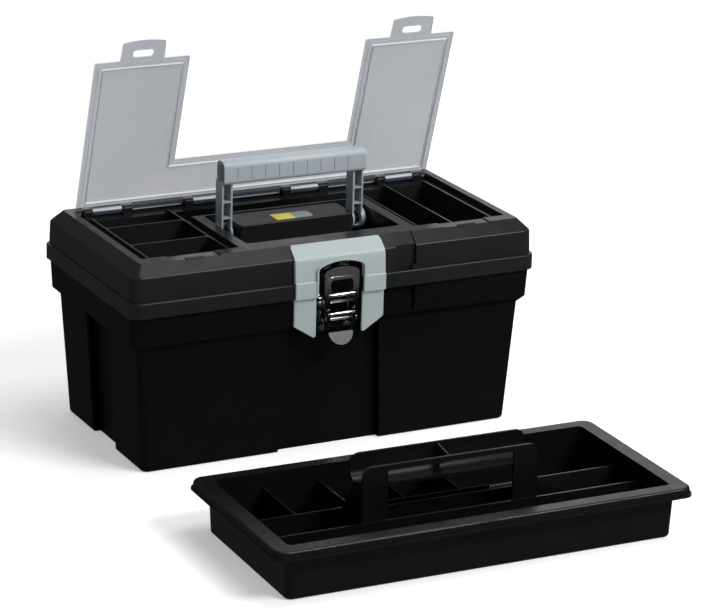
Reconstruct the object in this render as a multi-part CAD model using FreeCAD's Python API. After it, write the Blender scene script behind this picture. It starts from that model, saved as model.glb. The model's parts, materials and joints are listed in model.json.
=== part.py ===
import FreeCAD, Part
import math
import os

from FreeCAD import Placement, Rotation, Vector

# Toolbox with lift-out tray.  Millimetres, +Z up, +X along the length, front face towards -Y.
# The origin is the centre of the tub's footprint on the floor.

# ---- driving dimensions: tub -------------------------------------------------------------
WALL = 2.2
TUB_BASE = (185.0, 89.8)          # half length, half depth at the floor
TUB_KNEE = (192.1, 95.1)          # just under the thick upper section
TUB_COLLAR_LOW = (198.7, 100.6)
TUB_COLLAR_TOP = (199.9, 102.0)
Z_KNEE = 116.3
Z_COLLAR = 122.5
Z_SEAM = 150.0
SEAM_GAP = 0.15
LOWER_CORNER_R = 7.0
COLLAR_CORNER_R = 9.0
TUB_FLOOR = 3.0
BASE_ROUND = 3.2
RECESS_DEPTH = 7.5                # vertical panels let into the front, back and ends
FRONT_RECESS = (45.0, 52.0)       # half width at the top and at the floor
END_RECESS = 27.0

# ---- driving dimensions: lid --------------------------------------------------------------
LID_TOP = 196.6
BAND = (203.0, 105.3)
BAND_TOP = 164.2
LID_WALL_LOW = (200.9, 102.3)
LID_WALL = (200.3, 101.4)
CHAMFER_LOW = 185.9
BAND_EDGE_R = 1.5
CHAMFER_EDGE_R = 3.0
LID_RIM = (189.5, 90.1)
LID_SKIN = 2.0
SEAT_FLOOR = 191.0                # ledge that carries the clear cover
SEAT_X = (88.0, 182.5)
SEAT_Y = (-77.5, 80.5)
BIN_TOP = 194.0
BIN_FLOOR = 156.0
BIN_X = (96.1, 171.5)
BIN_Y = (-76.0, 62.0)
BIN_WALL = 1.6
LEFT_BIN_CROSS = (-28.0, 28.0)
RIGHT_BIN_SPLIT = 130.0
HANDLE_WELL_X = 77.5
HANDLE_WELL_Y = (-70.5, 23.5)
WELL_FLOOR = 172.6
PLATFORM_X = 58.3
PLATFORM_Y = (-15.0, 24.5)
PLATFORM_TOP = 195.6
REAR_WELL = (90.0, 26.0, 62.0, 165.0)

# ---- driving dimensions: hinges, cover and handle -------------------------------------------
LID_AXIS = (110.0, 150.0)         # y, z
LID_KNUCKLE_R = 4.0
LID_PIN_R = 2.0
LID_HINGE_X = (-116.0, 116.0)
COVER_AXIS = (75.5, 195.6)
COVER_PIN_R = 1.6
COVER_BARREL_R = 3.2
COVER_LUG_PITCH = 101.0
COVER_LUG_START = -176.0
COVER_T = 2.0
COVER_HALF = 181.8
COVER_INNER = 89.4
COVER_FRONT = -83.2
COVER_RISE = 1.3                  # underside of the sheet above the hinge axis
COVER_STEP = 6.3                  # locating rib, in from the edge
COVER_STRIP_FRONT = 27.4
COVER_OPEN = 72.6                 # degrees the cover stands open
CATCH_X = 136.0
HANDLE_AXIS = (1.7, 185.2)
HANDLE_BOSS_R = 9.3
HANDLE_STUB_R = 4.0
HANDLE_LEG_X = (61.4, 72.0)
HANDLE_LEG_Y = (-5.2, 8.6)
GRIP_HALF = 72.0
GRIP_Y = (-10.2, 6.6)
GRIP_Z = (233.4, 254.8)

# ---- driving dimensions: latch --------------------------------------------------------------
CHANNEL_X = 23.0
CHANNEL_Y = -93.1
ARCH_SIDE_Z = 177.0
ARCH_TOP_Z = 182.6
ARCH_CORNER = 5.0
LATCH_T = 1.2
LATCH_FRONT = -107.6
LEVER_AXIS = (-99.5, 142.0)
LINK_AXIS = (-103.5, 127.0)
LATCH_PIN_R = 1.6
TAB_LEAN = 24.0                   # finger tab bent forward, degrees
PIN_GAP = 0.06
KEEPER_RIVET_Z = 174.2
TRIM_HALF = 45.0
TRIM_T = 2.0
PADLOCK_X = (58.0, 78.4)

# ---- driving dimensions: tray ---------------------------------------------------------------
TRAY_AT = (-8.0, -319.9)
TRAY_TURN = -1.2
TRAY_RIM = (194.0, 90.8)
TRAY_LIP = (195.4, 91.7)
TRAY_BODY = (183.2, 81.8)
TRAY_BASE = (180.9, 80.3)
TRAY_TOP = 47.4
TRAY_LIP_Z = 39.2
TRAY_WALL = 2.0
TRAY_CORNER_R = 8.5
TRAY_DIVIDER_TOP = 33.4
TRAY_GRIP_X = (-88.5, 77.5)


# ---- helpers ----------------------------------------------------------------------------------
def box(x0, x1, y0, y1, z0, z1):
    return Part.makeBox(x1 - x0, y1 - y0, z1 - z0, Vector(x0, y0, z0))


def rod(x0, x1, y, z, r):
    return Part.makeCylinder(r, x1 - x0, Vector(x0, y, z), Vector(1, 0, 0))


def rounded_wire(half, r, z):
    hx, hy = half
    q = r * (1 - math.sqrt(0.5))
    edges = []
    corners = [(hx, hy, 1, 1), (-hx, hy, -1, 1), (-hx, -hy, -1, -1), (hx, -hy, 1, -1)]
    ends = []
    for x, y, sx, sy in corners:
        a = Vector(x, y - sy * r, z)
        b = Vector(x - sx * r, y, z)
        mid = Vector(x - sx * q, y - sy * q, z)
        if sx * sy < 0:
            a, b = b, a
        ends.append((a, mid, b))
    for i, (a, mid, b) in enumerate(ends):
        edges.append(Part.Arc(a, mid, b).toShape())
        edges.append(Part.LineSegment(b, ends[(i + 1) % 4][0]).toShape())
    return Part.Wire(edges)


def taper(low, high, z0, z1, r0, r1):
    return Part.makeLoft([rounded_wire(low, r0, z0), rounded_wire(high, r1, z1)], True, True)


def shrunk(half, t):
    return (half[0] - t, half[1] - t)


def plate_yz(points, x0, x1):
    """A flat shape drawn in Y and Z, pushed along X."""
    wire = Part.makePolygon([Vector(x0, y, z) for y, z in points + points[:1]])
    return Part.Face(wire).extrude(Vector(x1 - x0, 0, 0))


def plate_xz(points, y0, y1):
    """A flat shape drawn in X and Z, pushed along Y."""
    wire = Part.makePolygon([Vector(x, y0, z) for x, z in points + points[:1]])
    return Part.Face(wire).extrude(Vector(0, y1 - y0, 0))


def fuse(shapes):
    result = shapes[0].multiFuse(shapes[1:]) if len(shapes) > 1 else shapes[0]
    return result.removeSplitter()


def mirror_x(shape):
    return shape.mirror(Vector(0, 0, 0), Vector(1, 0, 0))


def both_sides(shape):
    return [shape, mirror_x(shape)]


def turned(shape, yz, degrees):
    """Turn a shape about an axis along X through the point yz."""
    out = shape.copy()
    out.rotate(Vector(0, yz[0], yz[1]), Vector(1, 0, 0), degrees)
    return out


def rounded_plate_xz(x0, x1, z0, z1, y0, y1, r):
    """A plate across the front with all four corners rounded."""
    blank = box(x0, x1, y0, y1, z0, z1)
    edges = [e for e in blank.Edges if abs(e.tangentAt(e.FirstParameter).y) > 0.99]
    return blank.makeFillet(r, edges)


def arch(half, z0, side_z, top_z, y0, y1, corner=0):
    """A shape with straight sides and a shallow arched top, its two shoulders rounded."""
    p = [Vector(-half, y0, z0), Vector(half, y0, z0), Vector(half, y0, side_z), Vector(-half, y0, side_z)]
    crown = Part.Arc(p[2], Vector(0, y0, top_z), p[3]).toShape()
    sides = [Part.LineSegment(p[i], p[j]).toShape() for i, j in ((0, 1), (1, 2), (3, 0))]
    shape = Part.Face(Part.Wire([sides[0], sides[1], crown, sides[2]])).extrude(Vector(0, y1 - y0, 0))
    if not corner:
        return shape
    across = [e for e in shape.Edges if e.BoundBox.YLength > 0.1 and abs(e.BoundBox.Center.z - side_z) < 0.01]
    return shape.makeFillet(corner, across)


# ---- tub ----------------------------------------------------------------------------------------
def tub_recesses():
    half_top, half_low = FRONT_RECESS
    depth_y = TUB_BASE[1] - RECESS_DEPTH
    lean = TUB_KNEE[1] - TUB_BASE[1]
    wedge = [(-depth_y - lean, Z_KNEE + 2), (-depth_y, -1), (-120, -1), (-120, Z_KNEE + 2)]
    front = plate_yz(wedge, -60, 60)
    outline = [(-half_low, -1), (half_low, -1), (half_top, Z_KNEE + 2), (-half_top, Z_KNEE + 2)]
    front = front.common(plate_xz(outline, -120, 0))
    back = front.mirror(Vector(0, 0, 0), Vector(0, 1, 0))
    depth_x = TUB_BASE[0] - RECESS_DEPTH
    lean_x = TUB_KNEE[0] - TUB_BASE[0]
    end_line = [(depth_x, -1), (depth_x + lean_x, Z_KNEE + 1), (220, Z_KNEE + 1), (220, -1)]
    end = plate_xz(end_line, -END_RECESS, END_RECESS)
    return [front, back, end, mirror_x(end)]


def tub():
    lower = taper(TUB_BASE, TUB_KNEE, 0, Z_KNEE, LOWER_CORNER_R, LOWER_CORNER_R)
    foot_edges = [e for e in lower.Edges if e.BoundBox.ZMax < 0.01]
    lower = lower.makeFillet(BASE_ROUND, foot_edges)
    knee = taper(TUB_KNEE, TUB_COLLAR_LOW, Z_KNEE, Z_COLLAR, LOWER_CORNER_R, COLLAR_CORNER_R)
    z_rim = Z_SEAM - SEAM_GAP
    collar = taper(TUB_COLLAR_LOW, TUB_COLLAR_TOP, Z_COLLAR, z_rim, COLLAR_CORNER_R, COLLAR_CORNER_R)
    inner_low = taper(shrunk(TUB_BASE, WALL), shrunk(TUB_KNEE, WALL), 0, Z_KNEE + 1.0,
                      LOWER_CORNER_R - WALL, LOWER_CORNER_R - WALL)
    inner_low = inner_low.common(box(-300, 300, -200, 200, TUB_FLOOR, 200))
    inner_knee = taper(shrunk(TUB_KNEE, WALL), shrunk(TUB_COLLAR_LOW, WALL), Z_KNEE + 1.0, Z_COLLAR + 1.0,
                       LOWER_CORNER_R - WALL, COLLAR_CORNER_R - WALL)
    inner_top = taper(shrunk(TUB_COLLAR_LOW, WALL), shrunk(TUB_COLLAR_TOP, WALL), Z_COLLAR + 1.0, Z_SEAM + 1,
                      COLLAR_CORNER_R - WALL, COLLAR_CORNER_R - WALL)
    recesses = tub_recesses()
    cavity = fuse([inner_low, inner_knee, inner_top])
    for cut in recesses:
        grown = cut.copy()
        box_of = cut.BoundBox
        push = Vector(0, 0, 0)
        if box_of.YLength < 60 and abs(box_of.Center.y) > 50:
            push.y = -WALL if box_of.Center.y > 0 else WALL
        else:
            push.x = -WALL if box_of.Center.x > 0 else WALL
        grown.translate(push)
        cavity = cavity.cut(fuse([grown, cut]))
    outer = fuse([lower, knee, collar]).cut(recesses[0])
    for cut in recesses[1:]:
        outer = outer.cut(cut)
    shape = fuse([outer.cut(cavity)] + latch_boss() + [padlock_backing()])
    shape = shape.cut(box(-CHANNEL_X, CHANNEL_X, -120, CHANNEL_Y, 105, 155))
    shape = shape.cut(box(46.0, PADLOCK_X[1], -120, -98.1, Z_COLLAR + 2, 155))
    shape = shape.cut(Part.makeCylinder(1.7, 10, Vector(50.0, -104, 145.5), Vector(0, 1, 0)))
    shape = fuse([shape] + tub_knuckles())
    for x in LID_HINGE_X:
        shape = shape.cut(rod(x - 40, x + 40, LID_AXIS[0], LID_AXIS[1], LID_PIN_R + 0.02))
    for x in (-12.0, 12.0):
        shape = shape.cut(Part.makeCylinder(1.55, 14, Vector(x, -100, 117), Vector(0, 1, 0)))
    return shape


def latch_boss():
    """Thick pad under the latch; its foot closes the top of the front recess."""
    top = Z_SEAM - SEAM_GAP
    outline = [(-46, top), (46, top), (46, 124), (24, 111), (-24, 111), (-46, 124)]
    pad = plate_xz(outline, -TUB_COLLAR_TOP[1], CHANNEL_Y + 1.15)
    foot = plate_xz(outline, -TUB_COLLAR_TOP[1], -85.6).common(box(-44, 44, -110, -80, 105, 118.2))
    return [pad, foot]


def padlock_backing():
    return box(44.0, PADLOCK_X[1] + 2, -99.9, -96.1, Z_COLLAR, Z_SEAM - SEAM_GAP)


def knuckle(x0, x1, below):
    y, z = LID_AXIS
    barrel = rod(x0, x1, y, z, LID_KNUCKLE_R)
    if below:
        web = box(x0, x1, 100.5, y + 1, z - 8, z - SEAM_GAP)
        return barrel.fuse(web.cut(box(x0, x1, y, y + 9, z - 9, z - 3.0)))
    web = box(x0, x1, 104.5, y + 1, z + SEAM_GAP, z + 8)
    return barrel.fuse(web.cut(box(x0, x1, y, y + 9, z + 3.0, z + 9)))


def tub_knuckles():
    out = []
    for x in LID_HINGE_X:
        for x0, x1 in ((-30, -10.5), (10.5, 30)):
            out.append(knuckle(x + x0, x + x1, True))
    return out


# ---- lid ----------------------------------------------------------------------------------------
def lid_body(inset):
    z0 = Z_SEAM + SEAM_GAP if inset == 0 else Z_SEAM - 2
    drop = inset
    z_fold = CHAMFER_LOW - drop * 0.4
    band = taper(shrunk(BAND, inset), shrunk(BAND, inset), z0, BAND_TOP - drop, 11.0 - inset, 11.0 - inset)
    wall = taper(shrunk(LID_WALL_LOW, inset), shrunk(LID_WALL, inset), BAND_TOP - drop, z_fold,
                 9.3 - inset, 9.3 - inset)
    top = taper(shrunk(LID_WALL, inset), shrunk(LID_RIM, inset), z_fold, LID_TOP - drop, 9.3 - inset, 2.8)
    shape = fuse([band, wall, top])
    if inset:
        return shape
    shape = shape.makeFillet(CHAMFER_EDGE_R, outer_loop(shape, z_fold, LID_WALL))
    return shape.makeFillet(BAND_EDGE_R, outer_loop(shape, BAND_TOP, BAND))


def outer_loop(shape, z, half):
    """Edges lying flat at height z along the outside of a rounded rectangle of this half size."""
    flat = [e for e in shape.Edges if e.BoundBox.ZLength < 0.01 and abs(e.BoundBox.ZMin - z) < 0.01]
    return [e for e in flat if any(abs(v.X) > half[0] - 0.01 or abs(v.Y) > half[1] - 0.01 for v in e.Vertexes)]


def lid_pockets():
    """Compartments open to the top: x0, x1, y0, y1, floor."""
    out = []
    ys = [BIN_Y[0], LEFT_BIN_CROSS[0], LEFT_BIN_CROSS[1], BIN_Y[1]]
    for i in range(3):
        y0 = ys[i] + (BIN_WALL / 2 if i else 0)
        y1 = ys[i + 1] - (BIN_WALL / 2 if i < 2 else 0)
        out.append((-BIN_X[1], -BIN_X[0], y0, y1, BIN_FLOOR))
    out.append((BIN_X[0], RIGHT_BIN_SPLIT - BIN_WALL / 2, BIN_Y[0], BIN_Y[1], BIN_FLOOR))
    out.append((RIGHT_BIN_SPLIT + BIN_WALL / 2, BIN_X[1], BIN_Y[0], BIN_Y[1], BIN_FLOOR))
    out.append((-REAR_WELL[0], REAR_WELL[0], REAR_WELL[1], REAR_WELL[2], REAR_WELL[3]))
    return out


def pocket(p, top=LID_TOP + 5, r=3.0):
    x0, x1, y0, y1, z0 = p
    blank = box(x0, x1, y0, y1, z0, top)
    upright = [e for e in blank.Edges if abs(e.tangentAt(e.FirstParameter).z) > 0.99]
    return blank.makeFillet(r, upright)


def skin(p):
    x0, x1, y0, y1, z0 = p
    t = LID_SKIN
    return box(x0 - t, x1 + t, y0 - t, y1 + t, z0 - t, LID_TOP)


def cover_lug_starts():
    return [COVER_LUG_START + COVER_LUG_PITCH * i for i in range(4)]


def cover_lugs():
    y, z = COVER_AXIS
    out = []
    for s in cover_lug_starts():
        for x0, x1 in ((s + 1.0, s + 9.0), (s + 39.4, s + 49.0)):
            post = box(x0, x1, y - COVER_BARREL_R, y + COVER_BARREL_R, SEAT_FLOOR - 1, z)
            out.append(post.fuse(rod(x0, x1, y, z, COVER_BARREL_R)))
        out.append(rod(s + 5.0, s + 43.0, y, z, COVER_PIN_R))
    return out


def catches():
    """Low bars on the front rim that the slots in the cover's tongues drop over."""
    profile = [(-87.8, 195.0), (-88.1, 197.0), (-89.4, 197.0), (-91.6, 194.6), (-91.4, 193.0)]
    return [plate_yz(profile, side * CATCH_X - 9.0, side * CATCH_X + 9.0) for side in (-1, 1)]


def lid():
    y, z = HANDLE_AXIS
    outer = lid_body(0)
    shell = outer.cut(lid_body(WALL))
    pockets = lid_pockets()
    well = (-HANDLE_WELL_X, HANDLE_WELL_X, HANDLE_WELL_Y[0], HANDLE_WELL_Y[1], WELL_FLOOR)
    seats = [(-SEAT_X[1], -SEAT_X[0], SEAT_Y[0], SEAT_Y[1], SEAT_FLOOR),
             (SEAT_X[0], SEAT_X[1], SEAT_Y[0], SEAT_Y[1], SEAT_FLOOR),
             (-SEAT_X[1], SEAT_X[1], REAR_WELL[1], SEAT_Y[1], SEAT_FLOOR)]
    backing = [skin(p).common(outer) for p in pockets + [well] + seats]
    channel = arch(CHANNEL_X, Z_SEAM - 2, ARCH_SIDE_Z, ARCH_TOP_Z, -120, CHANNEL_Y, ARCH_CORNER)
    channel_skin = arch(CHANNEL_X + WALL, Z_SEAM + SEAM_GAP, ARCH_SIDE_Z + 1, ARCH_TOP_Z + 2.5, -106,
                        CHANNEL_Y + WALL)
    groove_skin = box(PADLOCK_X[0] - 2, PADLOCK_X[1] + 2, -106, -96.0, Z_SEAM + SEAM_GAP, LID_TOP)
    shape = fuse([shell, channel_skin.common(outer), groove_skin.common(outer)] + backing)
    for seat in seats:
        shape = shape.cut(pocket(seat, r=2.0))
    shape = shape.cut(pocket(well, r=4.0))
    x0, x1 = BIN_X
    y0, y1 = BIN_Y
    frame = box(x0 - BIN_WALL, x1 + BIN_WALL, y0 - 1.5, y1, SEAT_FLOOR - 2, BIN_TOP)
    platform = rounded_block(PLATFORM_X, PLATFORM_Y, WELL_FLOOR - 1, PLATFORM_TOP, 4.0, 1.5)
    cross_wall = box(-SEAT_X[0] - 0.5, SEAT_X[0] + 0.5, HANDLE_WELL_Y[1], REAR_WELL[1], SEAT_FLOOR - 2,
                     PLATFORM_TOP)
    shape = fuse([shape, platform, cross_wall] + both_sides(frame))
    for p in pockets:
        shape = shape.cut(pocket(p))
    hollow = box(-PLATFORM_X + 2.2, PLATFORM_X - 2.2, PLATFORM_Y[0] + 2.2, PLATFORM_Y[1] - 3, 168.0,
                 PLATFORM_TOP - 2.4)
    shape = shape.cut(hollow)
    shape = shape.cut(channel)
    groove = plate_yz([(-98.2, 168.0), (-98.2, 187.0), (-87.6, 197.6), (-120, 197.6), (-120, 168.0)],
                      *PADLOCK_X)
    slot = box(61.0, 74.5, -103.0, -99.0, 140, 175)
    shape = shape.cut(groove).cut(slot)
    rebate = [(-76.0, 195.7), (-89.7, 195.7), (-91.4, 194.1), (-92.2, 194.9), (-98.0, 201), (-76.0, 201)]
    for side in (-1, 1):
        shape = shape.cut(plate_yz(rebate, side * CATCH_X - 24, side * CATCH_X + 24))
    stubs = both_sides(rod(PLATFORM_X - 2, 73.0, y, z, HANDLE_STUB_R))
    shape = fuse([shape] + stubs + cover_lugs() + catches() + lid_knuckles())
    for x in LID_HINGE_X:
        shape = shape.cut(rod(x - 40, x + 40, LID_AXIS[0], LID_AXIS[1], LID_PIN_R + PIN_GAP))
    for x in (-7.0, 7.0):
        shape = shape.cut(Part.makeCylinder(1.55, 14, Vector(x, -100, KEEPER_RIVET_Z), Vector(0, 1, 0)))
    return shape


def rounded_block(half_x, span_y, z0, z1, r, top_r):
    blank = box(-half_x, half_x, span_y[0], span_y[1], z0, z1)
    upright = [e for e in blank.Edges if abs(e.tangentAt(e.FirstParameter).z) > 0.99]
    blank = blank.makeFillet(r, upright)
    rim = [e for e in blank.Edges if e.BoundBox.ZMin > z1 - 0.01]
    return blank.makeFillet(top_r, rim)


def lid_knuckles():
    return [knuckle(x - 10.0, x + 10.0, False) for x in LID_HINGE_X]


def hinge_pin(x):
    shaft = rod(x - 30.5, x + 30.5, LID_AXIS[0], LID_AXIS[1], LID_PIN_R)
    head = rod(x + 30.5, x + 32.0, LID_AXIS[0], LID_AXIS[1], LID_PIN_R + 1.2)
    return shaft.fuse(head)


# ---- clear cover ----------------------------------------------------------------------------------
def cover_outline(inset, y_back, z0, z1, r):
    """The cover's U shape, drawn in by inset from its edges."""
    panel = rounded_sheet(-COVER_HALF + inset, -COVER_INNER - inset, COVER_FRONT + inset, y_back, z0, z1, r)
    half = COVER_INNER + inset + 4
    strip = box(-half, half, COVER_STRIP_FRONT + inset, y_back, z0, z1)
    return fuse([strip] + both_sides(panel))


def cover():
    """Two panels joined by a strip along the hinge, with a raised middle, drawn shut and then opened."""
    y, z = COVER_AXIS
    z0 = z + COVER_RISE
    z1 = z0 + COVER_T
    back = 78.6
    rib_back = y - 9.0
    shape = cover_outline(0, back, z0, z1, 1.8)
    rib = cover_outline(COVER_STEP, rib_back, z0 - 2.4, z0 + 0.5, 1.5)
    raised = cover_outline(COVER_STEP - 1.2, rib_back + 1.2, z1 - 0.5, z1 + 0.8, 2.0)
    sunk = cover_outline(COVER_STEP + 1.3, rib_back - 1.3, z0 - 3.0, z0 + 0.8, 1.0)
    groove = cover_outline(2.4, back + 5, z0 - 1.0, z0 + 0.5, 1.2)
    groove = groove.cut(cover_outline(3.3, back + 6, z0 - 2.0, z0 + 1.0, 1.0))
    shape = fuse([shape, rib, raised]).cut(sunk).cut(groove)
    shape = fuse([shape, tongue(-CATCH_X), tongue(CATCH_X)])
    for s in cover_lug_starts():
        shape = shape.cut(box(s + 0.2, s + 49.8, y - 4.2, back + 1, z0 - 5, z1 + 5))
        barrel = rod(s + 10.0, s + 38.6, y, z, COVER_BARREL_R - 0.1)
        bridge = box(s + 10.0, s + 38.6, y - 5.0, y, z0, z1 - 0.3)
        shape = fuse([shape, barrel.fuse(bridge)])
    for s in cover_lug_starts():
        shape = shape.cut(rod(s, s + 50, y, z, COVER_PIN_R + PIN_GAP))
        shape = shape.cut(box(s, s + 50, y, y + 6, z - 1.25, z + 1.25))
    return turned(shape, COVER_AXIS, -COVER_OPEN)


def rounded_sheet(x0, x1, y0, y1, z0, z1, r):
    blank = box(x0, x1, y0, y1, z0, z1)
    upright = [e for e in blank.Edges if abs(e.tangentAt(e.FirstParameter).z) > 0.99]
    return blank.makeFillet(r, upright)


def tongue(x):
    """Front tongue with a slot that drops over the bar on the rim."""
    half = 21.4
    tip = COVER_FRONT - 20.5
    z0 = COVER_AXIS[1] + COVER_RISE
    flat = [Vector(x - half, COVER_FRONT + 3, z0), Vector(x + half, COVER_FRONT + 3, z0),
            Vector(x + half - 0.6, tip + 2.2, z0), Vector(x - half + 0.6, tip + 2.2, z0)]
    curve = Part.Arc(flat[2], Vector(x, tip, z0), flat[3]).toShape()
    lines = [Part.LineSegment(flat[i], flat[j]).toShape() for i, j in ((0, 1), (1, 2), (3, 0))]
    blade = Part.Face(Part.Wire([lines[0], lines[1], curve, lines[2]])).extrude(Vector(0, 0, 1.6))
    ends = [e for e in blade.Edges if e.BoundBox.ZLength > 1 and e.BoundBox.YMax < tip + 2.3]
    blade = blade.makeFillet(2.0, ends)
    return blade.cut(rounded_sheet(x - 10.2, x + 10.2, -93.2, -86.4, z0 - 1, z0 + 3, 3.2))


# ---- carrying handle ------------------------------------------------------------------------------
def grip_section(x, inset):
    y0, y1 = GRIP_Y[0] + inset, GRIP_Y[1] - inset
    z0, z1 = GRIP_Z[0] + inset, GRIP_Z[1] - inset
    blank = box(x[0], x[1], y0, y1, z0, z1)
    tall = [e for e in blank.Edges if e.BoundBox.ZMin > z1 - 0.01 and e.BoundBox.XLength > 10]
    shape = blank.makeFillet(6.0 - inset, tall)
    low = [e for e in shape.Edges if e.BoundBox.ZMax < z0 + 0.01 and e.BoundBox.XLength > 10]
    return shape.makeFillet(3.5 - inset * 0.5, low)


def handle_leg():
    x0, x1 = HANDLE_LEG_X
    y0, y1 = HANDLE_LEG_Y
    y, z = HANDLE_AXIS
    leg = box(x0, x1, y0, y1, z, GRIP_Z[0] + 2)
    boss = rod(x0, x1 + 2.6, y, z, HANDLE_BOSS_R)
    inside = box(x0 + 1.8, x1 - 1.6, y0 - 1, y1 - 1.8, z + HANDLE_BOSS_R + 1, GRIP_Z[0] + 1)
    hollow = rod(x0 + 1.8, x1 - 1.6, y, z, HANDLE_BOSS_R - 2.0)
    mouth = box(x0 + 1.8, x1 - 1.6, y - HANDLE_BOSS_R - 1, y, z - 4.5, z + HANDLE_BOSS_R + 2)
    shape = fuse([leg, boss]).cut(fuse([inside, hollow, mouth]))
    ribs = [box(x0 + 1, x1 - 1, y0, y1 - 1, h - 0.8, h + 0.8) for h in (201.0, 216.2)]
    shape = fuse([shape] + ribs)
    return shape.cut(rod(x0 - 1, x1 + 1.5, y, z, HANDLE_STUB_R + PIN_GAP))


def handle():
    grip = grip_section((-GRIP_HALF, GRIP_HALF), 0)
    bore_in = grip_section((-GRIP_HALF - 1, -GRIP_HALF + 40), 2.0)
    grip = grip.cut(bore_in).cut(mirror_x(bore_in))
    for i in range(9):
        x = -59.0 + 14.0 * i
        groove = box(x - 0.5, x + 0.5, GRIP_Y[0] - 1, GRIP_Y[0] + 0.5, GRIP_Z[0] + 4, GRIP_Z[1] - 6)
        grip = grip.cut(groove)
    return fuse([grip] + both_sides(handle_leg()))


# ---- latch ----------------------------------------------------------------------------------------
def trim_face():
    """Lid surface under the trim, from the rim down the front to the seam."""
    return [(-LID_RIM[1], LID_TOP), (-LID_WALL[1], CHAMFER_LOW), (-LID_WALL_LOW[1], BAND_TOP),
            (-BAND[1], BAND_TOP), (-BAND[1], Z_SEAM + SEAM_GAP)]


def trim_upper():
    t = TRIM_T
    face = -LID_WALL[1] - t
    outside = [(-BAND[1] - t, Z_SEAM + SEAM_GAP), (-BAND[1] - t, BAND_TOP + 0.4), (face - 2.6, BAND_TOP + 1.6),
               (face - 1.2, CHAMFER_LOW - 2.4), (face - 0.6, CHAMFER_LOW - 0.2), (face + 0.8, CHAMFER_LOW + 1.8),
               (-LID_RIM[1] - 1.2, LID_TOP + 0.4)]
    shape = plate_yz(trim_face() + outside, -TRIM_HALF, TRIM_HALF)
    corner = rounded_plate_xz(-TRIM_HALF, TRIM_HALF, Z_SEAM - 20, LID_TOP + 1, -130, -80, 4.0)
    shape = shape.common(corner)
    opening = arch(CHANNEL_X, Z_SEAM - 2, ARCH_SIDE_Z, ARCH_TOP_Z, -130, -80, ARCH_CORNER)
    bead_out = arch(CHANNEL_X + 1.5, Z_SEAM + SEAM_GAP, ARCH_SIDE_Z + 0.8, ARCH_TOP_Z + 1.5,
                    -BAND[1] - t - 0.7, -LID_WALL[1] - 0.5, ARCH_CORNER + 1.5)
    return fuse([shape, bead_out.cut(lid_body(0))]).cut(opening)


def trim_lower(side):
    top = Z_SEAM - SEAM_GAP
    y_face = -TUB_COLLAR_TOP[1] - 0.02
    x0, x1 = CHANNEL_X, TRIM_HALF
    outline = [(side * x0, top), (side * x1, top), (side * x1, 124.6), (side * (x1 - 1.5), 123.0),
               (side * (x0 + 2.5), 111.6), (side * x0, 112.4)]
    shape = plate_xz(outline, y_face - TRIM_T, y_face)
    front = [e for e in shape.Edges if e.BoundBox.YMax < y_face - TRIM_T + 0.01]
    return shape.makeFillet(0.8, front)


def keeper():
    plate = rounded_plate_xz(-13, 13, 166.4, 178.0, CHANNEL_Y - LATCH_T, CHANNEL_Y, 2.0)
    hook = plate_yz([(CHANNEL_Y - 0.2, 166.6), (-100.4, 166.6), (-100.4, 170.6), (-99.2, 170.6),
                     (-99.2, 167.8), (CHANNEL_Y - 0.2, 167.8)], -11, 11)
    shape = fuse([plate, hook])
    for x in (-7.0, 7.0):
        shape = shape.cut(Part.makeCylinder(1.55, 10, Vector(x, -100, KEEPER_RIVET_Z), Vector(0, 1, 0)))
    return shape


def rivet(x, z, y_front, y_back):
    shank = Part.makeCylinder(1.5, y_back - y_front, Vector(x, y_front, z), Vector(0, 1, 0))
    head = Part.makeCylinder(2.8, 0.9, Vector(x, y_front - 0.9, z), Vector(0, 1, 0))
    rim = [e for e in head.Edges if e.BoundBox.YMax < y_front - 0.85]
    return shank.fuse(head.makeFillet(0.6, rim))


def rivets(xs, z, y_back):
    return Part.makeCompound([rivet(x, z, CHANNEL_Y - LATCH_T, y_back) for x in xs])


def base_plate():
    y, z = LEVER_AXIS
    plate = rounded_plate_xz(-19.4, 19.4, 112.5, 148.0, CHANNEL_Y - LATCH_T, CHANNEL_Y, 2.0)
    ear = box(18.2, 19.4, y, CHANNEL_Y, z - 4.6, z + 4.6).fuse(rod(18.2, 19.4, y, z, 4.6))
    shape = fuse([plate] + both_sides(ear))
    shape = shape.cut(rounded_plate_xz(-12.5, 12.5, 121.5, 146.0, -100, -90, 2.5))
    shape = shape.cut(rod(-25, 25, y, z, LATCH_PIN_R + 0.02))
    for x in (-12.0, 12.0):
        shape = shape.cut(Part.makeCylinder(1.55, 10, Vector(x, -100, 117.0), Vector(0, 1, 0)))
    return shape


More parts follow.
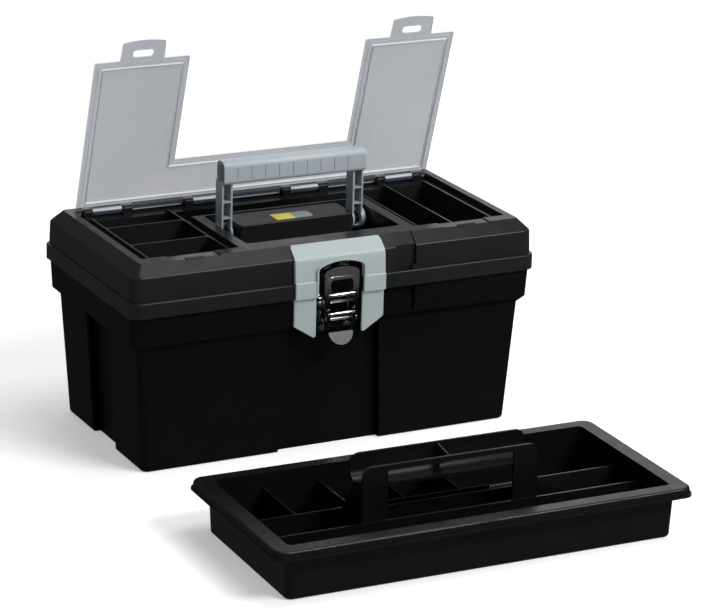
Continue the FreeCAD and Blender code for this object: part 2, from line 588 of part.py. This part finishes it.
def lever():
    y, z = LEVER_AXIS
    front = LATCH_FRONT
    back = front + LATCH_T
    face = rounded_plate_xz(-14.8, 14.8, 114.5, 137.4, front, back, 1.0)
    tab = Part.makeCylinder(12.2, LATCH_T, Vector(0, front, 115.2), Vector(0, 1, 0))
    tab = tab.common(box(-12.5, 12.5, front - 1, back + 1, 100, 115.4))
    tab = turned(tab, (back, 115.4), -TAB_LEAN)
    flange = plate_yz([(front, 117.5), (-99.0, 119.5), (-97.2, 123.5), (-96.9, 132.0), (y + 4.4, z - 1.5),
                       (y + 4.4, z), (y - 4.4, z), (y - 5.0, z - 4.6), (front, 137.4)], 13.6, 14.8)
    flange = flange.fuse(rod(13.6, 14.8, y, z, 4.4))
    rail = box(11.2, 13.6, front - 0.9, front + 0.2, 116.0, 136.8)
    shape = fuse([face, tab] + both_sides(flange) + both_sides(rail))
    shape = shape.cut(box(-11.2, 11.2, front - 2, back + 1, 134.4, 150))
    shape = shape.cut(rounded_plate_xz(-11.2, 11.2, 121.3, 131.2, front - 2, back + 1, 1.5))
    roll = rod(-13.4, 13.4, front + 0.2, 132.8, 1.6)
    shape = fuse([shape, roll])
    shape = shape.cut(rod(-25, 25, y, z, LATCH_PIN_R + PIN_GAP))
    return shape.cut(rod(-25, 25, LINK_AXIS[0], LINK_AXIS[1], LATCH_PIN_R + 0.02))


def link():
    front = LATCH_FRONT
    back = front + LATCH_T
    y, z = LINK_AXIS
    face = arch(17.2, 138.6, 173.2, 177.2, front, back, 5.0)
    window = rounded_plate_xz(-11.2, 11.2, 153.4, 165.2, front - 2, back + 1, 3.5)
    gap = box(-11.2, 11.2, front - 2, back + 1, 130, 148.6)
    inner = rounded_plate_xz(-13.6, 13.6, 138.6, 167.8, front - 0.9, front + 0.2, 4.5)
    outer = arch(17.2, 138.6, 173.2, 177.2, front - 0.6, front + 0.2, 5.0)
    outer = outer.cut(arch(15.4, 130, 171.6, 175.4, front - 2, front + 1, 4.0))
    leg = plate_yz([(front, z), (y + 3.4, z), (y - 0.6, z + 8.0), (y - 0.6, 150.0), (-101.2, 156.0),
                    (-101.2, 171.5), (front, 171.5)], 16.0, 17.2)
    leg = leg.fuse(rod(16.0, 17.2, y, z, 3.4))
    crown = arch(17.2, 166.0, 173.2, 177.2, back - 0.2, -101.0, 5.0)
    crown = crown.cut(arch(16.0, 160.0, 172.0, 176.0, back - 2, -100.5, 4.0))
    bar = rod(-13.4, 13.4, front + 0.2, 150.6, 1.6)
    shape = fuse([face, inner, outer, crown] + both_sides(leg)).cut(window).cut(gap)
    shape = fuse([shape, bar])
    return shape.cut(rod(-25, 25, y, z, LATCH_PIN_R + PIN_GAP))


def lever_pin():
    y, z = LEVER_AXIS
    ends = [rod(19.4, 20.3, y, z, 2.6), rod(-20.3, -19.4, y, z, 2.6)]
    return fuse([rod(-19.6, 19.6, y, z, LATCH_PIN_R)] + ends)


def link_pin():
    y, z = LINK_AXIS
    return rod(-17.9, 17.9, y, z, LATCH_PIN_R)


# ---- badge ----------------------------------------------------------------------------------------
def badge(x0, x1, round_right):
    z0 = PLATFORM_TOP
    plate = box(x0, x1, -11.3, 5.9, z0, z0 + 0.6)
    if round_right:
        right = [e for e in plate.Edges if e.BoundBox.XMin > x1 - 0.01 and e.BoundBox.ZLength > 0.1]
        plate = plate.makeFillet(4.5, right)
    return plate


# ---- tray -----------------------------------------------------------------------------------------
def tray_handle():
    """Grip plate with a window, and the open trough behind it that the palm lifts on."""
    x0, x1 = TRAY_GRIP_X
    y0 = -26.4
    plate = box(x0, x1, y0, y0 + 2.4, 2, 82.0)
    tops = [e for e in plate.Edges if abs(e.tangentAt(e.FirstParameter).y) > 0.99 and e.BoundBox.ZMin > 50]
    plate = plate.makeFillet(9.0, tops)
    plate = plate.cut(rounded_plate_xz(x0 + 23.5, x1 - 23.5, 30.0, 77.2, y0 - 1, y0 + 4, 1.5))
    cy, cz = y0 + 15.0, 75.0
    edges = [arc_yz(x0, cy, cz, 12.6, -90, 0)]
    corners = [(cy + 12.6, cz), (cy + 12.6, 86.0), (cy + 10.4, 86.0), (cy + 10.4, cz)]
    edges += lines_yz(x0, corners)
    edges.append(arc_yz(x0, cy, cz, 10.4, 0, -90))
    edges += lines_yz(x0, [(cy, cz - 10.4), (y0 + 2.0, 65.5), (y0 + 2.0, 63.0), (cy, cz - 12.6)])
    trough = Part.Face(Part.Wire(edges)).extrude(Vector(x1 - x0, 0, 0))
    tops = [e for e in trough.Edges if abs(e.tangentAt(e.FirstParameter).y) > 0.99 and e.BoundBox.ZMin > 85.9]
    trough = trough.makeFillet(9.0, tops)
    rib = plate_yz([(y0 + 1, 77.6), (y0 + 1, 81.0), (cy + 11, 85.0), (cy + 11, 70), (cy + 7, 66.5)], -7.5, -5.9)
    side = [(y0, 2), (y0, 70), (cy + 2, 64.5), (11.5, 34), (11.5, 2)]
    cheeks = [plate_yz(side, x, x + 2.0) for x in (x0, x1 - 2.0)]
    return fuse([plate, trough, rib] + cheeks)


def arc_yz(x, cy, cz, r, a0, a1):
    pts = []
    for a in (a0, (a0 + a1) / 2, a1):
        t = math.radians(a)
        pts.append(Vector(x, cy + r * math.cos(t), cz + r * math.sin(t)))
    return Part.Arc(*pts).toShape()


def lines_yz(x, corners):
    pts = [Vector(x, y, z) for y, z in corners]
    return [Part.LineSegment(pts[i], pts[i + 1]).toShape() for i in range(len(pts) - 1)]


def tray():
    r = TRAY_CORNER_R
    body = taper(TRAY_BASE, TRAY_BODY, 0, TRAY_TOP - 2, r - 2, r - 1)
    foot = [e for e in body.Edges if e.BoundBox.ZMax < 0.01]
    body = body.makeFillet(3.2, foot)
    flange = taper(TRAY_LIP, TRAY_RIM, TRAY_LIP_Z, TRAY_TOP, r + 2, r + 2)
    hem = taper(shrunk(TRAY_LIP, -0.9), shrunk(TRAY_LIP, -0.9), TRAY_LIP_Z, TRAY_LIP_Z + 1.8, r + 3, r + 3)
    crest = [e for e in flange.Edges if e.BoundBox.ZMin > TRAY_TOP - 0.01]
    flange = flange.makeFillet(2.4, crest).fuse(hem)
    under = taper(shrunk(TRAY_LIP, 2.0), shrunk(TRAY_RIM, 2.2), TRAY_LIP_Z - 1, TRAY_TOP - 2.2, r, r)
    flange = flange.cut(under)
    cavity = taper(shrunk(TRAY_BASE, 2.4), (179.0, 77.4), 2.2, TRAY_TOP + 1, r - 4.5, r - 4)
    low = [e for e in cavity.Edges if e.BoundBox.ZMax < 2.21]
    cavity = cavity.makeFillet(2.5, low)
    shape = fuse([body, flange])
    top = TRAY_DIVIDER_TOP
    long_walls = [box(-182, 182, -28.4, -26.4, 1, top), box(-182, TRAY_GRIP_X[0] + 1, 11.5, 13.3, 1, top),
                  box(TRAY_GRIP_X[1] - 1, 182, 11.5, 13.3, 1, top), box(-64, 52, 11.5, 13.3, 1, top),
                  box(-88, 77, 1.2, 3.0, 1, top)]
    cross = [box(x - 0.8, x + 0.8, 12.5, 78, 1, top) for x in (-131.0, -79.5, -28.5, 24.5)]
    inside = cavity.common(fuse(long_walls + cross))
    shape = shape.cut(cavity)
    shape = fuse([shape, inside, tray_handle()])
    shape.rotate(Vector(0, 0, 0), Vector(0, 0, 1), TRAY_TURN)
    shape.translate(Vector(TRAY_AT[0], TRAY_AT[1], 0))
    return shape


# ---- output ---------------------------------------------------------------------------------------
def parts():
    return {
        "tub": tub(),
        "lid": lid(),
        "clear_cover": cover(),
        "carry_handle": handle(),
        "lid_hinge_pin_left": hinge_pin(LID_HINGE_X[0]),
        "lid_hinge_pin_right": hinge_pin(LID_HINGE_X[1]),
        "latch_trim_upper": trim_upper(),
        "latch_trim_lower_left": trim_lower(-1),
        "latch_trim_lower_right": trim_lower(1),
        "latch_keeper": keeper(),
        "latch_keeper_rivets": rivets((-7.0, 7.0), KEEPER_RIVET_Z, -91.2),
        "latch_base_plate": base_plate(),
        "latch_base_rivets": rivets((-12.0, 12.0), 117.0, -92.2),
        "latch_lever": lever(),
        "latch_link": link(),
        "latch_lever_pin": lever_pin(),
        "latch_link_pin": link_pin(),
        "badge_left_half": badge(-19.0, 0.5, False),
        "badge_right_half": badge(0.5, 19.0, True),
        "tray": tray(),
    }


os.makedirs("parts", exist_ok=True)
for name, shape in parts().items():
    solids = shape.Solids
    print(name, len(solids), "solids", round(shape.Volume), shape.isValid())
    shape.exportStep("parts/%s.step" % name)
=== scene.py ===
import json
import math

import bpy
from mathutils import Matrix, Vector


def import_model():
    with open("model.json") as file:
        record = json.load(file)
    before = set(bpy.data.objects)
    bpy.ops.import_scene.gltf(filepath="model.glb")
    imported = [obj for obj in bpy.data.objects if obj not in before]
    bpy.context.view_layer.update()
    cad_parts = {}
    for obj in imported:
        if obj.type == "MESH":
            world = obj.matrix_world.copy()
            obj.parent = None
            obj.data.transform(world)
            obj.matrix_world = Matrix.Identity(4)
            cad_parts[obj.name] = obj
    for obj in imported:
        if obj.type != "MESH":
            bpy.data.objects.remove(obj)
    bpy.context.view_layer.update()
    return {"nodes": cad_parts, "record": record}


# Lengths are metres in the frame of the record: +Z up, +X along the box, the front towards -Y.

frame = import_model()
nodes = frame["nodes"]


# ---- shader helpers --------------------------------------------------------------------------
# Noise scales are cells a metre, because the texture space is the node's own space in metres.

NOISE_LOW, NOISE_HIGH = 0.3, 0.7       # nearly all of a noise texture's values lie between these


def new_material(name):
    """An empty material with one Principled shader."""
    m = bpy.data.materials.new(name)
    m.use_nodes = True
    nt = m.node_tree
    nt.nodes.clear()
    out = nt.nodes.new("ShaderNodeOutputMaterial")
    bsdf = nt.nodes.new("ShaderNodeBsdfPrincipled")
    nt.links.new(bsdf.outputs[0], out.inputs[0])
    return m, nt, bsdf


def noise(nt, scale, detail=3.0, rough=0.5, stretch=None):
    """Noise fixed to the piece; stretch multiplies the cells along each axis."""
    tc = nt.nodes.new("ShaderNodeTexCoord")
    mp = nt.nodes.new("ShaderNodeMapping")
    mp.inputs["Scale"].default_value = stretch or (1, 1, 1)
    tex = nt.nodes.new("ShaderNodeTexNoise")
    tex.inputs["Scale"].default_value = scale
    tex.inputs["Detail"].default_value = detail
    tex.inputs["Roughness"].default_value = rough
    nt.links.new(tc.outputs["Object"], mp.inputs[0])
    nt.links.new(mp.outputs[0], tex.inputs["Vector"])
    return tex.outputs["Fac"]


def ramp(nt, value, stops):
    """Colour from a value, through (position, colour) stops in rising order."""
    r = nt.nodes.new("ShaderNodeValToRGB")
    els = r.color_ramp.elements
    els[0].position, els[0].color = stops[0][0], tuple(stops[0][1]) + (1,)
    els[1].position, els[1].color = stops[-1][0], tuple(stops[-1][1]) + (1,)
    for pos, col in stops[1:-1]:
        e = els.new(pos)
        e.color = tuple(col) + (1,)
    nt.links.new(value, r.inputs[0])
    return r.outputs[0]


def spread(nt, value, low, high):
    """A noise value stretched to run from low to high."""
    r = nt.nodes.new("ShaderNodeMapRange")
    r.inputs["From Min"].default_value = NOISE_LOW
    r.inputs["From Max"].default_value = NOISE_HIGH
    r.inputs["To Min"].default_value = low
    r.inputs["To Max"].default_value = high
    nt.links.new(value, r.inputs[0])
    return r.outputs[0]


def bump(nt, value, strength, distance, below=None):
    """Relief of the given depth, on top of the relief below."""
    b = nt.nodes.new("ShaderNodeBump")
    b.inputs["Strength"].default_value = strength
    b.inputs["Distance"].default_value = distance
    nt.links.new(value, b.inputs["Height"])
    if below:
        nt.links.new(below, b.inputs["Normal"])
    return b.outputs[0]


def shade(col, k):
    return tuple(c * k for c in col)


# ---- materials -------------------------------------------------------------------------------
FLOW_CELLS = 14.0                      # shade changes across a moulding
SMEAR_CELLS = 55.0                     # handling marks in the sheen
WAVE_CELLS, WAVE_DEPTH = 22.0, 0.0003  # sink and warp of a moulded wall
CLOUD_CELLS, STREAK_CELLS = 60.0, 260.0
DENT_CELLS, DENT_DEPTH = 90.0, 0.0002  # unevenness of pressed sheet


def plastic(name, base, rough, specular, grain=900.0, grain_depth=0.00003, contrast=0.15):
    """Moulded plastic: fine spark-eroded grain, faint flow marks, dust and handling in the sheen."""
    m, nt, bsdf = new_material(name)
    flow = noise(nt, FLOW_CELLS, 4.0, 0.6)
    stops = [(0.25, shade(base, 1 - contrast)), (0.5, base), (0.78, shade(base, 1 + contrast))]
    nt.links.new(ramp(nt, flow, stops), bsdf.inputs["Base Color"])
    smear = noise(nt, SMEAR_CELLS, 5.0, 0.65, (1.0, 1.0, 2.2))
    nt.links.new(spread(nt, smear, rough - 0.04, rough + 0.06), bsdf.inputs["Roughness"])
    wave = bump(nt, noise(nt, WAVE_CELLS, 2.0, 0.5), 0.12, WAVE_DEPTH)
    nt.links.new(bump(nt, noise(nt, grain, 2.0, 0.6), 0.5, grain_depth, wave), bsdf.inputs["Normal"])
    bsdf.inputs["Specular IOR Level"].default_value = specular
    return m


def metal(name, base, rough, smudge=0.08, brushed=None):
    """Bare or plated steel, smudged by touch; brushed draws the streaks out along an axis."""
    m, nt, bsdf = new_material(name)
    cloud = noise(nt, CLOUD_CELLS, 4.0, 0.6)
    nt.links.new(ramp(nt, cloud, [(0.3, shade(base, 0.92)), (0.7, base)]), bsdf.inputs["Base Color"])
    bsdf.inputs["Metallic"].default_value = 1.0
    streak = noise(nt, STREAK_CELLS, 4.0, 0.7, brushed)
    nt.links.new(spread(nt, streak, rough, rough + smudge), bsdf.inputs["Roughness"])
    nt.links.new(bump(nt, noise(nt, DENT_CELLS, 2.0, 0.5), 0.25, DENT_DEPTH), bsdf.inputs["Normal"])
    return m


COVER_NORMAL = (0.0, 0.954, 0.299)     # of the panels at rest, in the node's own frame
COVER_PANEL_TINTS = ((0.132, 0.168, 0.212), (0.144, 0.182, 0.228))
# Painted highlight: pale colour on the cover's rims and rib sides standing in for the light they catch;
# the higher edge alpha makes it show more strongly.
COVER_EDGE_PAINTED_HIGHLIGHT = (0.86, 0.90, 0.94, 1)
COVER_EDGE_ALPHA = 0.72
PANEL_FACING, EDGE_FACING = 0.85, 0.55  # cosine to COVER_NORMAL at which a face is all panel, all edge

# A Mix node has a pair of inputs and an output for every kind of value it can blend.
MIX_FIRST_INPUT = {"FLOAT": 2, "RGBA": 6}
MIX_OUTPUT = {"FLOAT": 0, "RGBA": 2}


def edge_highlight_share(nt):
    """1 on faces that stand across the panels, such as rims and rib sides, and 0 on the panels; it
    places the painted edge highlight.
    """
    tc = nt.nodes.new("ShaderNodeTexCoord")
    dot = nt.nodes.new("ShaderNodeVectorMath")
    dot.operation = "DOT_PRODUCT"
    dot.inputs[1].default_value = COVER_NORMAL
    nt.links.new(tc.outputs["Normal"], dot.inputs[0])
    size = nt.nodes.new("ShaderNodeMath")
    size.operation = "ABSOLUTE"
    nt.links.new(dot.outputs["Value"], size.inputs[0])
    share = nt.nodes.new("ShaderNodeMapRange")
    share.inputs["From Min"].default_value = PANEL_FACING
    share.inputs["From Max"].default_value = EDGE_FACING
    nt.links.new(size.outputs[0], share.inputs[0])
    return share.outputs[0]


def blend_by(nt, share, low, high, kind="FLOAT"):
    """From the socket low at share 0 to the constant high at share 1."""
    mix = nt.nodes.new("ShaderNodeMix")
    mix.data_type = kind
    base = MIX_FIRST_INPUT[kind]
    nt.links.new(share, mix.inputs[0])
    nt.links.new(low, mix.inputs[base])
    mix.inputs[base + 1].default_value = high
    return mix.outputs[MIX_OUTPUT[kind]]


def clear_sheet(name):
    """Frosted clear styrene: milky panels, a pale painted highlight on the rims and rib sides, fine
    scratches in the sheen.
    """
    m, nt, bsdf = new_material(name)
    share = edge_highlight_share(nt)
    haze = noise(nt, 9.0, 3.0, 0.5)
    panel = ramp(nt, haze, list(zip((NOISE_LOW, NOISE_HIGH), COVER_PANEL_TINTS)))
    # Painted highlight: the pale edge colour is blended in on faces that stand across the panels.
    nt.links.new(blend_by(nt, share, panel, COVER_EDGE_PAINTED_HIGHLIGHT, "RGBA"), bsdf.inputs["Base Color"])
    scratch = noise(nt, 120.0, 6.0, 0.75, (1.0, 6.0, 1.0))
    nt.links.new(spread(nt, scratch, 0.22, 0.34), bsdf.inputs["Roughness"])
    veil = spread(nt, noise(nt, 6.0, 2.0, 0.5), 0.42, 0.47)
    nt.links.new(blend_by(nt, share, veil, COVER_EDGE_ALPHA), bsdf.inputs["Alpha"])
    nt.links.new(bump(nt, noise(nt, 500.0, 2.0, 0.5), 0.15, 0.00003), bsdf.inputs["Normal"])
    return m


materials = {
    "black_plastic": plastic("black_plastic", (0.0038, 0.0040, 0.0046), 0.42, 0.09),
    "lid_plastic": plastic("lid_plastic", (0.0135, 0.0138, 0.0146), 0.23, 0.14, 800.0, 0.000035),
    "tray_plastic": plastic("tray_plastic", (0.0058, 0.0061, 0.0068), 0.27, 0.18),
    "grey_plastic": plastic("grey_plastic", (0.36, 0.40, 0.43), 0.40, 0.35, 700.0, 0.00002, 0.05),
    "trim_plastic": plastic("trim_plastic", (0.37, 0.425, 0.43), 0.42, 0.30, 700.0, 0.00002, 0.05),
    "clear_plastic": clear_sheet("clear_plastic"),
    "latch_chrome": metal("latch_chrome", (0.80, 0.81, 0.83), 0.05),
    "pin_steel": metal("pin_steel", (0.60, 0.61, 0.63), 0.25, 0.15, (0.2, 1.0, 1.0)),
    "badge_yellow": plastic("badge_yellow", (0.72, 0.62, 0.06), 0.30, 0.4, 500.0, 0.00002, 0.05),
    "badge_grey": plastic("badge_grey", (0.24, 0.26, 0.28), 0.30, 0.4, 500.0, 0.00002, 0.08),
}


# ---- finish on the CAD pieces ----------------------------------------------------------------
WELD_DISTANCE = 0.00002
SHARP_ANGLE = math.radians(28)
BEVEL_SEGMENTS = 3


def dress(name, width):
    """Material from the record's slot, and a small radius of the given width on every sharp edge."""
    ob = nodes[name]
    slot = next(s["material_slot"] for s in frame["record"]["subparts"] if s["node"] == name)
    ob.data.materials.clear()
    ob.data.materials.append(materials[slot])
    weld = ob.modifiers.new("weld", "WELD")
    weld.merge_threshold = WELD_DISTANCE
    bev = ob.modifiers.new("edge_radius", "BEVEL")
    bev.width = width
    bev.segments = BEVEL_SEGMENTS
    bev.limit_method = "ANGLE"
    bev.angle_limit = SHARP_ANGLE
    bev.use_clamp_overlap = True
    bev.harden_normals = False


EDGE = {                               # width of the edge radius on each node
    "tub": 0.0006, "lid": 0.0006, "tray": 0.0007, "carry_handle": 0.0007, "clear_cover": 0.0005,
    "latch_trim_upper": 0.0006, "latch_trim_lower_left": 0.0004, "latch_trim_lower_right": 0.0004,
    "latch_lever": 0.0004, "latch_link": 0.0004, "latch_base_plate": 0.0002, "latch_keeper": 0.0002,
    "latch_lever_pin": 0.0003, "latch_link_pin": 0.0003, "latch_base_rivets": 0.0001,
    "latch_keeper_rivets": 0.0001, "lid_hinge_pin_left": 0.0003, "lid_hinge_pin_right": 0.0003,
    "badge_left_half": 0.00015, "badge_right_half": 0.00015,
}
for node_name, edge in EDGE.items():
    dress(node_name, edge)


# ---- stage ---------------------------------------------------------------------------------
FLOOR_SIZE = 30.0
FLOOR_TINTS = ((0.86, 0.86, 0.86), (0.89, 0.89, 0.89))
FLOOR_GLOW = 0.35

WORLD_STRENGTH = 0.6
SKY = (                                # from straight down at 0 to straight up at 1
    (0.0, (0.10, 0.10, 0.10)),
    (0.46, (0.12, 0.12, 0.12)),
    (0.55, (0.20, 0.20, 0.20)),
    (1.0, (0.62, 0.64, 0.66)),
)

LENS_MM = 154.1
SENSOR_MM = 36.0
CAMERA_AT = (-1.2001, -2.4516, 1.0006)
CAMERA_FORWARD = (0.4385, 0.8431, -0.3112)
CAMERA_RIGHT = (0.8908, -0.4537, 0.0261)


def floor():
    """A pale floor that glossy pieces do not mirror, so dark plastic and chrome reflect the sky."""
    bpy.ops.mesh.primitive_plane_add(size=FLOOR_SIZE, location=(0, 0, 0))
    ob = bpy.context.object
    ob.name = "floor"
    m, nt, bsdf = new_material("floor")
    tint = ramp(nt, noise(nt, 1.2, 2.0), list(zip((NOISE_LOW, NOISE_HIGH), FLOOR_TINTS)))
    nt.links.new(tint, bsdf.inputs["Base Color"])
    bsdf.inputs["Roughness"].default_value = 0.9
    bsdf.inputs["Specular IOR Level"].default_value = 0.1
    bsdf.inputs["Emission Color"].default_value = (1, 1, 1, 1)
    bsdf.inputs["Emission Strength"].default_value = FLOOR_GLOW
    ob.data.materials.append(m)
    ob.visible_glossy = False


def area(name, at, target, size, power):
    """A white rectangular light of the given power in watts, turned towards target."""
    data = bpy.data.lights.new(name, "AREA")
    data.shape = "RECTANGLE"
    data.size, data.size_y = size
    data.energy = power
    ob = bpy.data.objects.new(name, data)
    bpy.context.scene.collection.objects.link(ob)
    ob.location = at
    ob.rotation_euler = (Vector(target) - Vector(at)).to_track_quat("-Z", "Y").to_euler()


def world():
    """A grey sky that brightens with height, so tops and sides catch different light."""
    w = bpy.data.worlds.new("studio")
    bpy.context.scene.world = w
    w.use_nodes = True
    nt = w.node_tree
    nt.nodes.clear()
    out = nt.nodes.new("ShaderNodeOutputWorld")
    bg = nt.nodes.new("ShaderNodeBackground")
    tc = nt.nodes.new("ShaderNodeTexCoord")
    split = nt.nodes.new("ShaderNodeSeparateXYZ")
    nt.links.new(tc.outputs["Generated"], split.inputs[0])
    height = nt.nodes.new("ShaderNodeMapRange")
    height.inputs["From Min"].default_value = -1.0
    height.inputs["From Max"].default_value = 1.0
    nt.links.new(split.outputs["Z"], height.inputs[0])
    nt.links.new(ramp(nt, height.outputs[0], SKY), bg.inputs[0])
    bg.inputs[1].default_value = WORLD_STRENGTH
    nt.links.new(bg.outputs[0], out.inputs[0])


def camera():
    """The camera stands to the front left and above; forward is exact and right is squared to it."""
    data = bpy.data.cameras.new("camera")
    data.sensor_width = SENSOR_MM
    data.sensor_fit = "HORIZONTAL"
    data.lens = LENS_MM
    ob = bpy.data.objects.new("camera", data)
    bpy.context.scene.collection.objects.link(ob)
    right = Vector(CAMERA_RIGHT).normalized()
    back = -Vector(CAMERA_FORWARD).normalized()
    up = back.cross(right).normalized()
    right = up.cross(back).normalized()
    basis = Matrix((right, up, back)).transposed().to_4x4()
    ob.matrix_world = Matrix.Translation(CAMERA_AT) @ basis
    bpy.context.scene.camera = ob


floor()
world()
area("key_top", (0.55, -0.30, 2.3), (0, -0.1, 0.12), (1.3, 1.3), 20)
area("key_front", (1.05, -1.75, 1.85), (0, -0.1, 0.15), (1.3, 0.42), 44)
area("back_top", (0.9, 1.9, 1.25), (0, 0, 0.15), (2.2, 1.0), 10)
camera()
bpy.context.scene.view_settings.view_transform = "Standard"
